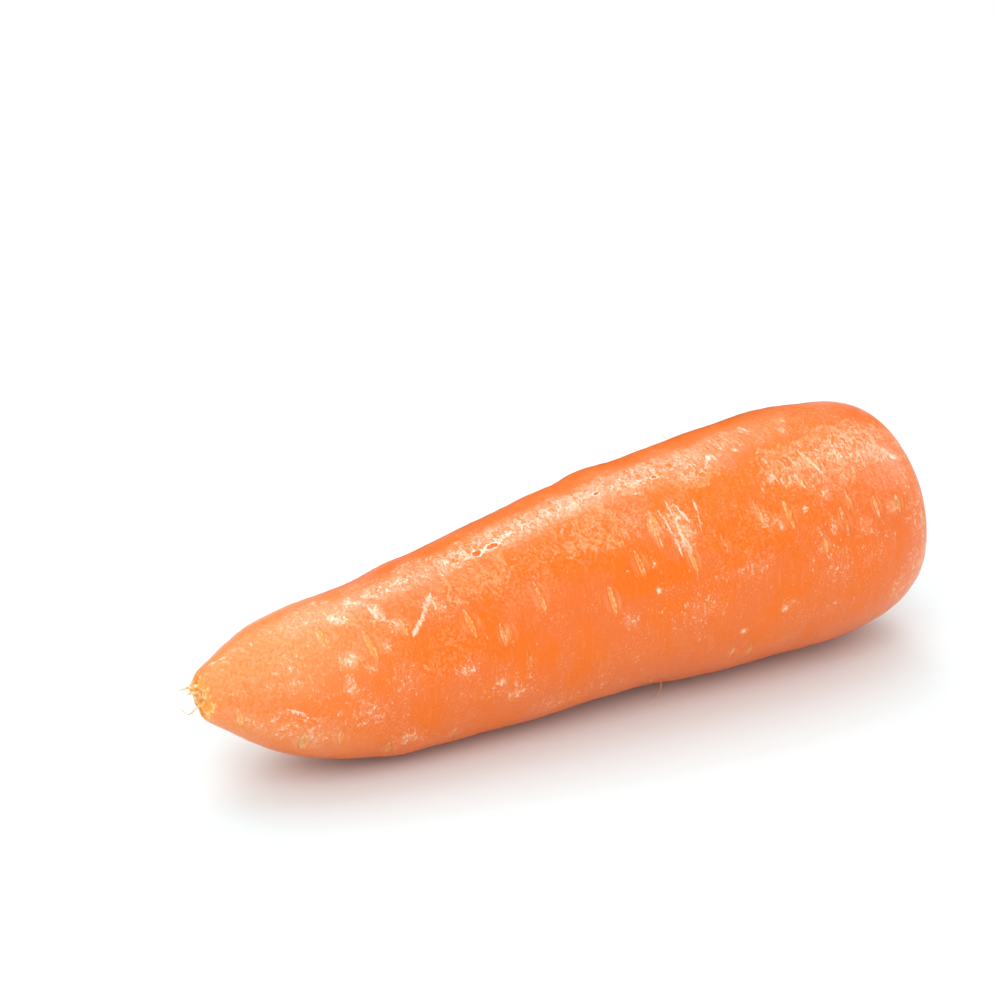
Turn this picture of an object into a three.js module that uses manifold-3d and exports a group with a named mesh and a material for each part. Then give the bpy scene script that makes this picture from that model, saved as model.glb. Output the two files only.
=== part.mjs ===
// A whole carrot root without its leaves, lying on its belly.
// Millimetres and degrees, +Z up. The root lies along X: the tip at -X, the crown at +X.
//
// The root is first described in its own terms: `along` is the distance on the axis from where the
// smooth skin begins behind the torn tip, `around` is the angle about the axis (0 = +Y side, 90 = top,
// 180 = -Y side, 270 = belly).
import * as THREE from 'three';
import { mergeVertices } from 'three/addons/utils/BufferGeometryUtils.js';
import Module from 'manifold-3d';

const wasm = await Module();
wasm.setup();

// ---- Driving dimensions ----------------------------------------------------------------------

// Half of the lengthwise section: [along, radius], from the torn tip over the shoulder into the crown.
const OUTLINE = [
  [-3.2, 0], [-2.9, 2.9], [-2.3, 4.6], [-0.8, 6],                 // small torn tip
  [3.2, 8.5], [7, 10.9], [13, 13.9], [23, 16.7],                  // the tip opens out
  [38, 18.8], [58, 20.8], [80, 22.7], [104, 24.5], [124, 25.7],   // slow taper of the body
  [140, 26.3], [151, 25.3], [158.8, 23.2], [163.7, 19.7],         // full shoulder
  [166.2, 13.5], [165, 9.6], [162.7, 7.4],                        // rim and hollow of the crown
  [163.1, 6.2], [164.4, 4.6], [164.6, 0],                         // cut stub of the leaf stalks
];
const TIP = OUTLINE[0][0];
const LENGTH = 165;
const RINGS = 146;
const SECTORS = 36;

const LEAN = 3.4;          // the axis rises towards the crown by this angle when the root lies down
const BELLY_FLAT = 0.7;    // depth by which the lowest skin is pressed flat where it lies

// The axis is not straight: [height of the bow, its middle along the root, its reach].
const TIP_LIFT = [4.1, 0, 21];
const BOWS = [[-2.1, 36, 28], [1.1, 88, 18]];

// The section is slightly oval, and the long way of the oval turns along the root.
const OVAL = 0.012;
const OVAL_TURN = 1.4;

// Broad swellings (+) and pinches (-): [along, around, height, reach along, reach around].
const SWELLINGS = [
  [36, 58, -0.3, 8, 40], [46.5, 58, 0.35, 4, 35], [76, 58, -0.3, 6, 40], [88.5, 58, -0.5, 4, 45],
  [95, 60, 0.45, 6, 40], [120, 60, 0.3, 9, 45], [149, 62, -0.6, 9, 38],
  [36.5, 238, 0.4, 5, 35], [69, 238, 0.4, 8, 40], [97, 238, -0.4, 5, 40], [129, 236, -0.35, 8, 40],
  [42, 235, 0.45, 18, 20], [80, 235, 0.45, 18, 20],
  [57, 150, -0.25, 6, 35], [82, 160, -0.3, 5, 40], [104, 145, -0.3, 6, 30], [140, 150, -0.3, 5, 35],
  [30, 330, 0.4, 9, 40], [64, 350, -0.4, 7, 50], [92, 320, 0.4, 10, 40], [118, 10, -0.4, 7, 45],
  [142, 330, 0.3, 8, 40],
];

// Low cross scars where side roots came out: [along, around, length across].
const SCAR_DEPTH = 0.5;
const SCAR_HALF_WIDTH = 1.5;
const FRONT_SCARS = [
  [3, 155, 3], [3, 197, 5.5], [14, 210, 6.5], [21, 200, 5.5], [22, 120, 6.5], [30.5, 135, 8],
  [32, 218, 5.5], [38.5, 130, 4.5], [47, 217, 5], [52, 142, 7], [58, 155, 7.5], [59.5, 156, 8],
  [63, 176, 3.5], [68, 143, 8.5], [83, 159, 9], [91, 146, 6.5], [98, 127, 7.5], [97, 133, 9.5],
  [103, 151, 8.5], [111, 148, 6.5], [112, 212, 6], [116.5, 213, 6], [121, 137, 7], [127.5, 143, 8],
  [133, 130, 4], [134, 163, 6.5], [137, 121, 6.5], [140, 154, 7.5], [142.5, 145, 6.5],
  [148.5, 152, 7], [154.5, 154, 5.5], [162, 168, 5.5],
];
// The far side carries two more rows, drawn at random about these angles.
const FAR_ROWS = [335, 20];
const FAR_ROW_SPREAD = 22;
const FAR_SCAR_GAP = [6, 13];
const FAR_SCAR_LENGTH = [4, 9];
const FAR_SCAR_SPAN = [10, 158];
const SEED = 4721;

// The cut stub is a ring of leaf stalk bases: how many, how far they stand out, and the stub's radius.
const STALKS = 7;
const STALK_HEIGHT = 0.35;
const STUB_RADIUS = 6.6;

// The torn tip is ragged: the waves round its edge, their height, and how far up the root they reach.
const TIP_WAVES = [3, 7];
const TIP_RAGGED = 0.25;
const TIP_REACH = 2;

// Torn thread roots at the tip, each through [along, side, up] points that start well inside the tip.
const THREAD_RADIUS = 0.3;
const THREAD_SIDES = 5;
const THREAD_STEPS = 10;
const THREADS = [
  [[0, -0.5, 6.8], [-3.2, -0.3, 7.4], [-5, 0.6, 7.1], [-6.5, 2.2, 6.1]],
  [[0, -1, 5.6], [-3.4, -0.8, 6.3], [-4.9, -0.5, 6.3], [-5.6, 0.1, 5.9]],
  [[0, -1.6, 3.2], [-3.2, -1.5, 3.5], [-4.6, -1.3, 3], [-5.5, -1, 1.6], [-6.3, 0, 1.7], [-6.7, 1, 2.8]],
];

const SKIN = { color: 0xf4702a, roughness: 0.42, metalness: 0 };

// ---- Shape of the root ------------------------------------------------------------------------

const radians = THREE.MathUtils.degToRad;
const bell = (distance, reach) => Math.exp(-((distance / reach) ** 2));

// Angle from `b` to `a`, in degrees between -180 and 180.
function turn(a, b) {
  return THREE.MathUtils.euclideanModulo(a - b + 180, 360) - 180;
}

function axisHeight(along) {
  const [lift, , fade] = TIP_LIFT;
  const bows = BOWS.map(([height, middle, reach]) => height * bell(along - middle, reach));
  return lift * Math.exp(-along / fade) + bows.reduce((sum, bow) => sum + bow, 0);
}

// A small repeatable generator of numbers between 0 and 1.
function drawer(seed) {
  let state = seed;
  return () => {
    state = (state * 16807) % 2147483647;
    return state / 2147483647;
  };
}

function farScars() {
  const draw = drawer(SEED);
  const between = ([low, high]) => low + (high - low) * draw();
  const scars = [];
  for (const row of FAR_ROWS) {
    for (let along = FAR_SCAR_SPAN[0]; along < FAR_SCAR_SPAN[1]; along += between(FAR_SCAR_GAP)) {
      const around = row + between([-FAR_ROW_SPREAD, FAR_ROW_SPREAD]);
      scars.push([along, around, between(FAR_SCAR_LENGTH)]);
    }
  }
  return scars;
}

const SCARS = [...FRONT_SCARS, ...farScars()];

// Depth of the scars at a point of the skin: each is a lens, longest across the root.
function scarDepth(along, around, radius) {
  let depth = 0;
  for (const [middle, angle, length] of SCARS) {
    const across = radians(turn(around, angle)) * radius / (length / 2);
    const beside = (along - middle) / SCAR_HALF_WIDTH;
    if (Math.abs(across) < 1 && Math.abs(beside) < 1) {
      depth = Math.max(depth, SCAR_DEPTH * (1 - across ** 2) * (1 - beside ** 2));
    }
  }
  return depth;
}

function swelling(along, around) {
  return SWELLINGS.reduce((sum, [middle, angle, height, reach, spread]) => (
    sum + height * bell(along - middle, reach) * bell(turn(around, angle), spread)
  ), 0);
}

// Where a point of the plain lathed root really lies: [along, side, up].
function skinPoint(along, radius, around) {
  const angle = radians(around);
  const outside = THREE.MathUtils.smoothstep(radius, STUB_RADIUS, 2 * STUB_RADIUS);
  const oval = 1 + OVAL * Math.cos(2 * angle + OVAL_TURN * Math.PI * along / LENGTH);
  const relief = swelling(along, around) - scarDepth(along, around, radius);
  const ragged = Math.cos(TIP_WAVES[0] * angle) + Math.sin(TIP_WAVES[1] * angle + 1);
  const tear = TIP_RAGGED * ragged * bell(along - TIP, TIP_REACH) * Math.min(radius / 3, 1);
  const onStub = along > LENGTH / 2 ? bell(radius - 0.7 * STUB_RADIUS, 0.25 * STUB_RADIUS) : 0;
  const stalks = STALK_HEIGHT * onStub * Math.cos(STALKS * angle);
  const r = radius * oval + relief * outside;
  return [along + stalks - tear, r * Math.cos(angle), r * Math.sin(angle) + axisHeight(along)];
}

// The lathe turns about Y with `around` = 0 at +Z, so (y, z, x) there is (along, side, up) here.
function rootGeometry() {
  const curve = new THREE.SplineCurve(OUTLINE.map(([along, radius]) => new THREE.Vector2(radius, along)));
  const profile = curve.getSpacedPoints(RINGS);
  profile[0].x = 0;
  profile[RINGS].x = 0;
  const geometry = new THREE.LatheGeometry(profile, SECTORS);
  const position = geometry.attributes.position;
  for (let i = 0; i < position.count; i += 1) {
    const [x, y, z] = [position.getX(i), position.getY(i), position.getZ(i)];
    const around = THREE.MathUtils.radToDeg(Math.atan2(x, z));
    position.setXYZ(i, ...skinPoint(y, Math.hypot(x, z), around));
  }
  return geometry;
}

function threadGeometry(points) {
  const path = new THREE.CatmullRomCurve3(points.map((point) => new THREE.Vector3(...point)));
  const section = new THREE.Shape();
  for (let side = 0; side < THREAD_SIDES; side += 1) {
    const angle = 2 * Math.PI * side / THREAD_SIDES;
    const corner = [THREAD_RADIUS * Math.cos(angle), THREAD_RADIUS * Math.sin(angle)];
    if (side === 0) {
      section.moveTo(...corner);
    } else {
      section.lineTo(...corner);
    }
  }
  return new THREE.ExtrudeGeometry(section, { steps: THREAD_STEPS, extrudePath: path });
}

// ---- Laying down and joining --------------------------------------------------------------------

// Leans the root back on its belly. Returns the height of its lowest point.
function layDown(geometry) {
  geometry.rotateY(-radians(LEAN));
  geometry.computeBoundingBox();
  return geometry.boundingBox.min.z;
}

function pressBelly(geometry, floor) {
  const position = geometry.attributes.position;
  for (let i = 0; i < position.count; i += 1) {
    position.setZ(i, Math.max(position.getZ(i), floor));
  }
}

function toSolid(geometry) {
  geometry.deleteAttribute('normal');
  geometry.deleteAttribute('uv');
  const merged = mergeVertices(geometry);
  const index = merged.index.array;
  const triangles = [];
  for (let i = 0; i < index.length; i += 3) {
    const [a, b, c] = [index[i], index[i + 1], index[i + 2]];
    if (a !== b && b !== c && c !== a) {
      triangles.push(a, b, c);
    }
  }
  return new wasm.Manifold(new wasm.Mesh({
    numProp: 3,
    vertProperties: new Float32Array(merged.attributes.position.array),
    triVerts: new Uint32Array(triangles),
  }));
}

function toGeometry(solid) {
  const mesh = solid.getMesh();
  const geometry = new THREE.BufferGeometry();
  geometry.setAttribute('position', new THREE.BufferAttribute(new Float32Array(mesh.vertProperties), 3));
  geometry.setIndex(new THREE.BufferAttribute(new Uint32Array(mesh.triVerts), 1));
  return geometry;
}

function buildRoot() {
  const root = rootGeometry();
  const lowest = layDown(root);
  const floor = lowest + BELLY_FLAT;
  pressBelly(root, floor);
  let solid = toSolid(root);
  for (const points of THREADS) {
    const thread = threadGeometry(points);
    layDown(thread);
    solid = solid.add(toSolid(thread));
  }
  const geometry = toGeometry(solid);
  geometry.computeBoundingBox();
  const middle = geometry.boundingBox.getCenter(new THREE.Vector3());
  geometry.translate(-middle.x, -middle.y, -floor);
  geometry.computeVertexNormals();
  return geometry;
}

// ---- The part -----------------------------------------------------------------------------------

const carrot = new THREE.Group();
const root = new THREE.Mesh(buildRoot(), new THREE.MeshStandardMaterial(SKIN));
root.name = 'carrot_root';
carrot.add(root);

export default carrot;
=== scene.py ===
"""A whole carrot root, damp from washing, lying on a pale surface."""

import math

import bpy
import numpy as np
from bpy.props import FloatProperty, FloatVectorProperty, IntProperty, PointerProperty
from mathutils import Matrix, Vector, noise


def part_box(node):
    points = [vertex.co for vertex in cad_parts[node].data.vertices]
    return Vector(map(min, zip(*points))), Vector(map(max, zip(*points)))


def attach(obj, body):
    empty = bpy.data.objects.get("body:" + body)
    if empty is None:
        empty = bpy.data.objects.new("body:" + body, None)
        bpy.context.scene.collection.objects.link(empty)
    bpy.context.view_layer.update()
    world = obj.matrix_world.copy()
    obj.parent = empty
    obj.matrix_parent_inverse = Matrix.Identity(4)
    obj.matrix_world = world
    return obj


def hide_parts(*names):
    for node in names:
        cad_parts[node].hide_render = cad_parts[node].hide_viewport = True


bl_info = {
    "name": "Carrot",
    "version": (1, 0, 0),
    "blender": (4, 5, 0),
    "location": "3D View > Sidebar > Carrot",
    "description": "Builds a carrot root with its skin, scars, thread roots and crown",
    "category": "Add Mesh",
}

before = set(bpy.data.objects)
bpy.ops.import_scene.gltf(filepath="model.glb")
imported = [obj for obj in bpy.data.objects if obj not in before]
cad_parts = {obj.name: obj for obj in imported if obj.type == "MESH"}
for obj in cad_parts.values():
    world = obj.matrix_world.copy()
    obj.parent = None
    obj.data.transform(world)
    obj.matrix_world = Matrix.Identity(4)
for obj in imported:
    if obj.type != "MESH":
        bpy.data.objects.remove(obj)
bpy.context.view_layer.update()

MM = 0.001
NODE = "carrot_root"
BODY = "root"

# ---- Shape of the root, in millimetres and degrees ------------------------------------------------
# `along` is the distance on the axis from where the smooth skin begins behind the torn tip.
# `around` is the angle about the axis: 0 is the far side, 90 the top, 180 the near side, 270 the belly.

# Half of the lengthwise section, from the torn tip over the shoulder into the crown: (along, radius).
OUTLINE = (
    (-3.2, 0), (-2.9, 2.9), (-2.3, 4.6), (-0.8, 6),
    (3.2, 8.5), (7, 10.9), (13, 13.9), (23, 16.7),
    (38, 18.8), (58, 20.8), (80, 22.7), (104, 24.5), (124, 25.7),
    (140, 26.3), (151, 25.3), (158.8, 23.2), (163.7, 19.7),
    (166.2, 13.5), (165, 9.6), (162.7, 7.4),
    (163.1, 6.2), (164.4, 4.6), (164.6, 0),
)
TIP = OUTLINE[0][0]
OUTLINE_POINTS = 700
LENGTH = 165
LEAN = 3.4
BELLY_FLAT = 0.7

# The bow of the axis: (height, its middle along the root, its reach).
TIP_LIFT = (4.1, 0, 21)
BOWS = ((-2.1, 36, 28), (1.1, 88, 18))
OVAL = 0.012
OVAL_TURN = 1.4

# Broad swellings (+) and pinches (-): (along, around, height, reach along, reach around).
SWELLINGS = (
    (36, 58, -0.3, 8, 40), (46.5, 58, 0.35, 4, 35), (76, 58, -0.3, 6, 40), (88.5, 58, -0.5, 4, 45),
    (95, 60, 0.45, 6, 40), (120, 60, 0.3, 9, 45), (149, 62, -0.6, 9, 38), (36.5, 238, 0.4, 5, 35),
    (69, 238, 0.4, 8, 40), (97, 238, -0.4, 5, 40), (129, 236, -0.35, 8, 40), (42, 235, 0.45, 18, 20),
    (80, 235, 0.45, 18, 20), (57, 150, -0.25, 6, 35), (82, 160, -0.3, 5, 40), (104, 145, -0.3, 6, 30),
    (140, 150, -0.3, 5, 35), (30, 330, 0.4, 9, 40), (64, 350, -0.4, 7, 50), (92, 320, 0.4, 10, 40),
    (118, 10, -0.4, 7, 45), (142, 330, 0.3, 8, 40),
)

# Unevenness of the skin: (turns per millimetre, in all or along, across and up, and an offset that picks it).
BROAD_NOISE = (0.11, 7.3)
MIDDLE_NOISE = ((0.42, 0.3, 0.3), 31.0)
WRINKLE_NOISE = ((0.7, 0.14, 0.14), 3.1)
WRINKLED_PATCHES = (0.05, 17.3)
CREASE_NOISE = ((0.5, 0.07, 0.07), 12.7)

# Cross scars where side roots came out: (along, around, length across, half width, green core 0 to 1).
NEAR_SCARS = (
    (3, 155, 3, 0.5, 0), (2.3, 191, 5.2, 0.8, 0.35), (14, 210, 7.2, 1.0, 0.6), (21, 200, 5.5, 0.8, 0.2),
    (22, 120, 7, 1.2, 0), (30.5, 135, 8.5, 1.05, 0), (32, 218, 5.5, 0.8, 0.7), (38.5, 130, 5.5, 0.7, 0),
    (47, 217, 5, 0.7, 0.7), (52, 142, 7.5, 0.9, 0), (58, 155, 7.5, 0.6, 0), (59.5, 156, 8, 0.65, 0),
    (63, 176, 4, 0.5, 0), (68, 143, 8.5, 0.75, 0), (83, 159, 9, 0.8, 0), (91, 146, 7.5, 0.8, 0.1),
    (98, 127, 7.5, 0.7, 0.1), (97, 133, 9.5, 0.6, 0), (103, 151, 8.5, 0.7, 0), (111, 148, 6.5, 0.5, 0),
    (112, 212, 6, 0.6, 0.3), (116.5, 213, 6, 0.6, 0.2), (121, 137, 7, 0.7, 0), (127.5, 143, 8, 0.8, 0),
    (133, 130, 4, 0.5, 0), (134, 163, 6.5, 0.6, 0), (137, 121, 6.5, 0.6, 0), (140, 154, 7.5, 0.7, 0.2),
    (142.5, 145, 6.5, 0.5, 0.2), (148.5, 152, 7, 0.6, 0.3), (154.5, 154, 5.5, 0.6, 0.9),
    (162, 168, 5.5, 0.6, 0.6),
)
# The far side carries two more rows, drawn at random about these angles.
FAR_ROWS = (335, 20)
FAR_ROW_SPREAD = (-22, 22)
FAR_SCAR_GAP = (6, 13)
FAR_SCAR_LENGTH = (4, 9)
FAR_SCAR_SPAN = (10, 158)
FAR_SCAR_HALF_WIDTH = 0.65
FAR_GREEN_EVERY = 4
SEED = 4721

# Skin worn pale in specks: (along, around, reach along, reach around, strength).
WORN = (
    (27, 108, 2.8, 8.5, 1.1), (31.5, 98, 2.7, 6.1, 0.8), (35, 114, 2, 10.8, 0.9),
    (37.5, 127, 2.2, 6.8, 0.7), (25, 142, 3, 9, 0.9), (23.8, 160, 1.8, 9, 0.8), (29, 150, 1.6, 4.7, 0.7),
    (33.5, 138, 1.4, 5.4, 0.7), (14, 145, 6.8, 27, 0.5), (8, 198, 5.4, 20.2, 0.6), (36, 208, 4.1, 6.8, 0.7),
    (18, 94, 9.5, 12.2, 0.5), (39, 96, 8.1, 12.2, 0.6), (46, 124, 4.1, 9.5, 0.6), (5, 88, 5.4, 13.5, 0.5),
    (49, 168, 3.4, 4.1, 0.6), (60, 194, 3.4, 6.8, 0.65), (55, 185, 9.5, 10.8, 0.45),
    (86, 173, 1.8, 4.1, 0.75), (94, 148, 1.4, 3.4, 0.6), (102.5, 133, 3.6, 15, 0.85),
    (122.5, 143, 3, 5.4, 0.65), (132.5, 155, 2.2, 5.4, 0.5), (137, 155, 1.8, 6.1, 0.55),
    (144.5, 159, 3, 6.8, 0.65), (152.5, 154, 2.4, 4.1, 0.75), (146, 121, 6.8, 10.8, 0.6),
    (157, 128, 2.7, 5.4, 0.75), (138, 91, 3.8, 6.1, 0.5), (124, 187, 3, 4.1, 0.6),
    (113, 163, 9.5, 4.7, 0.45), (157, 195, 5.4, 16.2, 0.6), (72, 214, 16.2, 8.1, 0.4),
    (140, 172, 12.2, 16.2, 0.35), (24, 178, 8.1, 16.2, 0.45), (36, 165, 6, 14, 0.4),
    (10.5, 178, 3.5, 8, 0.55), (105, 176, 10.8, 10.8, 0.35), (48, 340, 12.2, 18.9, 0.5),
    (92, 5, 16.2, 21.6, 0.5), (130, 330, 13.5, 24.3, 0.5), (70, 45, 10.8, 18.9, 0.45),
    (118, 50, 12.2, 16.2, 0.5), (20, 10, 10.8, 21.6, 0.5), (93.5, 161, 0.7, 1.8, 1.7),
    (158, 130, 0.9, 1.5, 1.6), (148, 106, 0.7, 1.3, 1.4), (131.3, 143, 0.7, 1.3, 1.4),
    (136.5, 99, 0.9, 3, 0.9), (98.5, 103.5, 0.9, 2.2, 1.5), (145, 122.5, 0.5, 2.5, 1.5),
    (146.2, 124.5, 0.5, 2, 1.4), (151.3, 124, 0.8, 2.5, 1.3), (137.3, 139.5, 1, 2.5, 0.75),
    (125, 147, 1.2, 3.5, 0.9), (153, 156, 1.6, 4, 0.8), (12, 196, 9, 16, 0.65), (24, 84, 7, 9, 0.55),
    (36, 80, 6, 8, 0.55), (47, 84, 6, 8, 0.6), (18, 185, 7, 8, 0.5), (160, 150, 4, 40, 0.5),
    (161, 200, 4, 30, 0.6), (154, 202, 4, 14, 0.65), (113.5, 196, 0.9, 2.2, 1.2), (123, 189, 1.2, 2.6, 1.0),
)
# Thin pale marks: real scratches, and painted glints drawn as short strokes along the shining wet band near
# the top: (along, around) of both ends, half width, strength.
SCRATCHES_AND_GLINTS = (
    (39.5, 138, 45.4, 122, 0.6, 1.0), (44, 124, 47, 116, 0.8, 0.9), (34, 107, 34.8, 119, 0.5, 0.9),
    (34.8, 119, 38.5, 129, 0.35, 0.9), (136.2, 113.5, 138.8, 129, 0.45, 1.0),
    (132.3, 124, 133.6, 134.5, 0.35, 0.95), (10.3, 172, 14.2, 177, 0.3, 1.0),
    (10.8, 174, 15, 181, 0.25, 0.8), (11.5, 179, 15.5, 186, 0.25, 0.7),
    (126.6, 123, 125.6, 134, 0.28, 0.75), (124, 126, 123, 135, 0.28, 0.75),
    (128.5, 121, 128, 130, 0.22, 0.65), (122, 121, 121.4, 131, 0.25, 0.65),
    (99.8, 121, 101, 149, 0.5, 0.85), (102.3, 118, 102.5, 149, 0.55, 0.85),
    (103.5, 119, 105.5, 133, 0.5, 0.85), (103.6, 136, 103, 149, 0.4, 0.75),
    (108.2, 121, 107.2, 138, 0.4, 0.75), (109, 137, 110, 145, 0.5, 0.5), (95.2, 119, 97, 139, 0.5, 0.55),
    (96.6, 108.3, 99.6, 107.3, 0.3, 0.95), (87.2, 146, 88.4, 148, 0.25, 0.9),
    (88.4, 148, 89.4, 150.5, 0.2, 0.8), (154.7, 175, 156.5, 171, 0.3, 0.8), (0.5, 79, 4.5, 92, 0.45, 0.8),
    (9, 94, 9.2, 99, 0.5, 0.9), (62, 84, 66, 80, 0.35, 0.8), (129.4, 84, 131, 96, 0.3, 0.8),
    (28, 25, 30, 50, 0.3, 0.8), (83, 20, 86, 48, 0.35, 0.8), (110, 345, 114, 5, 0.35, 0.8),
    (56, 300, 58, 325, 0.3, 0.8), (65.8, 101, 70.5, 98.5, 0.7, 0.85), (57, 103.5, 59.6, 102.5, 0.6, 0.8),
    (82, 102, 86, 97.5, 0.6, 0.8), (97.5, 102.3, 101, 100, 0.7, 0.85), (116, 103, 118.5, 99, 0.8, 0.85),
    (118.5, 99, 118.5, 104, 0.7, 0.8), (52, 99, 56, 98, 0.5, 0.7), (42, 99.5, 46, 98, 0.6, 0.75),
    (33, 97, 36, 95.5, 0.5, 0.7),
)
# Where the wet film spreads, glossy and with a painted sheen: (along, around, reach along, reach around,
# strength).
POOLS = (
    (70, 97, 30, 12, 1.0), (101, 97, 14, 11, 1.0), (112, 101, 6.5, 14, 1.15), (123, 92, 7, 9, 0.65),
    (38, 97, 9, 10, 0.75), (150, 117, 13, 15, 0.85), (133, 119, 9, 13, 0.75), (57, 119, 9, 12, 0.55),
    (85, 121, 14, 13, 0.4), (27, 111, 6, 12, 0.4), (141, 131, 7, 8, 0.45), (60, 40, 26, 22, 0.6),
    (120, 20, 24, 26, 0.6),
)
# The strongest orange: (along, around, reach along, reach around, strength).
DEEP_PATCHES = (
    (46, 152, 7, 12, 1.0), (115, 144, 6, 11, 1.0), (135, 95, 11, 15, 0.9), (94, 153, 7, 8, 0.7),
    (75, 125, 9, 12, 0.5), (105, 75, 40, 10, 0.9), (20, 172, 5, 9, 0.5), (80, 330, 30, 25, 0.6),
    (40, 10, 16, 20, 0.5),
)
# Where the skin is finely mottled, with deeper orange and a painted pale sheen of the broken film: (along,
# around, reach along, reach around, strength).
MOTTLED = (
    (80, 122, 42, 20, 1.0), (32, 120, 16, 24, 0.8), (46, 152, 12, 18, 0.7), (143, 126, 22, 27, 0.9),
    (145, 84, 24, 18, 0.8), (116, 147, 12, 16, 0.7), (80, 0, 75, 60, 0.6), (8, 130, 16, 50, 0.9),
    (10, 195, 18, 30, 0.8),
)
# Flesh that pales towards the tip, most on its upper side, where part of the pallor is painted light: (along,
# around, reach along, reach around, strength).
TIP_PALLOR_AND_LIGHT = ((2, 112, 30, 62, 1.0), (-2, 200, 14, 50, 0.75), (0, 330, 24, 70, 0.9), (14, 207, 13, 24, 0.45))
# Where the wet skin lies in fine cross ridges, which also carry painted white highlights: (along, around,
# reach along, reach around, strength).
RIDGED = (
    (126, 97, 8, 16, 1.0), (133, 119, 9, 13, 0.9), (31, 103, 9, 12, 0.7), (152, 112, 8, 12, 0.6),
    (46, 101, 6, 8, 0.5),
)
# Rings of water with dry skin inside, each with a painted white highlight round its edge: (along, around,
# half length, half width).
RINGS = ((60.6, 102.6, 0.9, 0.7), (64.3, 102.6, 1.5, 0.6), (90.3, 98.5, 0.5, 0.5), (104, 101, 0.6, 0.4))

STALKS = 7
STALK_HEIGHT = 0.35
STUB_RADIUS = 6.6
# How far from the axis the stub's colour, and then the hollow's, give way to skin: (from, to).
STUB_EDGE = (STUB_RADIUS - 0.6, STUB_RADIUS + 0.3)
HOLLOW_FADE = (7.5, 13.0)
TIP_WAVES = (3, 7)
TIP_RAGGED = 0.25
TIP_REACH = 2
TORN_REACH = 1.0

# Torn thread roots at the tip: (radius, (along, side, up) points that start inside the tip).
THREADS = (
    (0.6, ((0, -0.5, 6.8), (-3.2, -0.3, 7.4), (-5, 0.6, 7.1), (-6.5, 2.2, 6.1))),
    (0.5, ((0, -1, 5.6), (-3.4, -0.8, 6.3), (-4.9, -0.5, 6.3), (-5.6, 0.1, 5.9))),
    (0.25, ((0, -1.6, 3.2), (-3.2, -1.5, 3.5), (-4.6, -1.3, 3), (-5.5, -1, 1.6), (-6.3, 0, 1.7),
            (-6.7, 1, 2.8))),
)
THREAD_END = 0.08
THREAD_SIDES, THREAD_STEPS = 8, 14
# Root hairs, each through (along, around, height over the skin) points.
HAIRS = (
    ((109, 66, -0.5), (109.2, 63, 0.8), (108.7, 60, 2.1)),
    ((109.4, 66, -0.5), (109.9, 64, 0.7), (110.8, 62, 1.5)),
    ((106, 65, -0.5), (105.8, 62, 0.6), (105, 60, 1.4)),
    ((117, 65, -0.5), (117.3, 61, 1.6), (116.8, 57, 3.6)),
    ((98.5, 235, -0.5), (98.9, 239, 1.2), (98.4, 243, 2.8), (97, 246, 4.2)),
    ((94, 225, -0.1), (94.9, 229, 0.25), (94.9, 233, 0.3), (94, 237, -0.1)),
    ((126, 345, -0.5), (126.5, 342, 1.2), (127.5, 338, 2.8)),
    ((52, 20, -0.5), (51.5, 17, 1), (51.9, 14, 2.2)),
)
HAIR_RADIUS = 0.11
HAIR_END = HAIR_RADIUS / 3
HAIR_SIDES, HAIR_STEPS = 6, 10

# The surface under the root, in metres. The skin doesn't mirror a strip of it that starts at this Y, between
# these two X, and runs away from the camera.
FLOOR_REACH = 3.0
UNMIRRORED_FROM = 0.03
UNMIRRORED_SIDES = (-0.06, 0.105)

# The lights, in metres: (name, place, size, what it lights). The stage's settings hold their powers.
LIGHTS = (
    ("key", (0.276, 0.652, 0.762), (0.24, 0.72), "glossy"),
    ("strip", (0.24, 0.455, 0.79), (0.30, 0.04), "glossy"),
    ("side", (0.80, -0.08, 0.52), (0.45, 0.50), "glossy"),
    ("soft", (0.15, 0.50, 1.00), (1.2, 1.2), "diffuse"),
    ("front", (-0.56, -0.66, 1.18), (0.8, 0.8), "diffuse"),
)


def bell(distance, reach):
    return np.exp(-((distance / reach) ** 2))


def turn(a, b):
    """Angle from b to a, in degrees between -180 and 180."""
    return (a - b + 180) % 360 - 180


def smooth(value, low, high):
    t = np.clip((value - low) / (high - low), 0, 1)
    return t * t * (3 - 2 * t)


def drawer(seed):
    """A small repeatable generator of numbers between 0 and 1."""
    state = seed
    while True:
        state = (state * 16807) % 2147483647
        yield state / 2147483647


def between(draw, limits):
    return limits[0] + (limits[1] - limits[0]) * next(draw)


def far_scars():
    draw = drawer(SEED)
    scars = []
    for row in FAR_ROWS:
        along = FAR_SCAR_SPAN[0]
        while along < FAR_SCAR_SPAN[1]:
            around = row + between(draw, FAR_ROW_SPREAD)
            length = between(draw, FAR_SCAR_LENGTH)
            green = 0.7 if len(scars) % FAR_GREEN_EVERY == 0 else 0
            scars.append((along, around, length, FAR_SCAR_HALF_WIDTH, green))
            along += between(draw, FAR_SCAR_GAP)
    return scars


SCARS = (*NEAR_SCARS, *far_scars())


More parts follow.
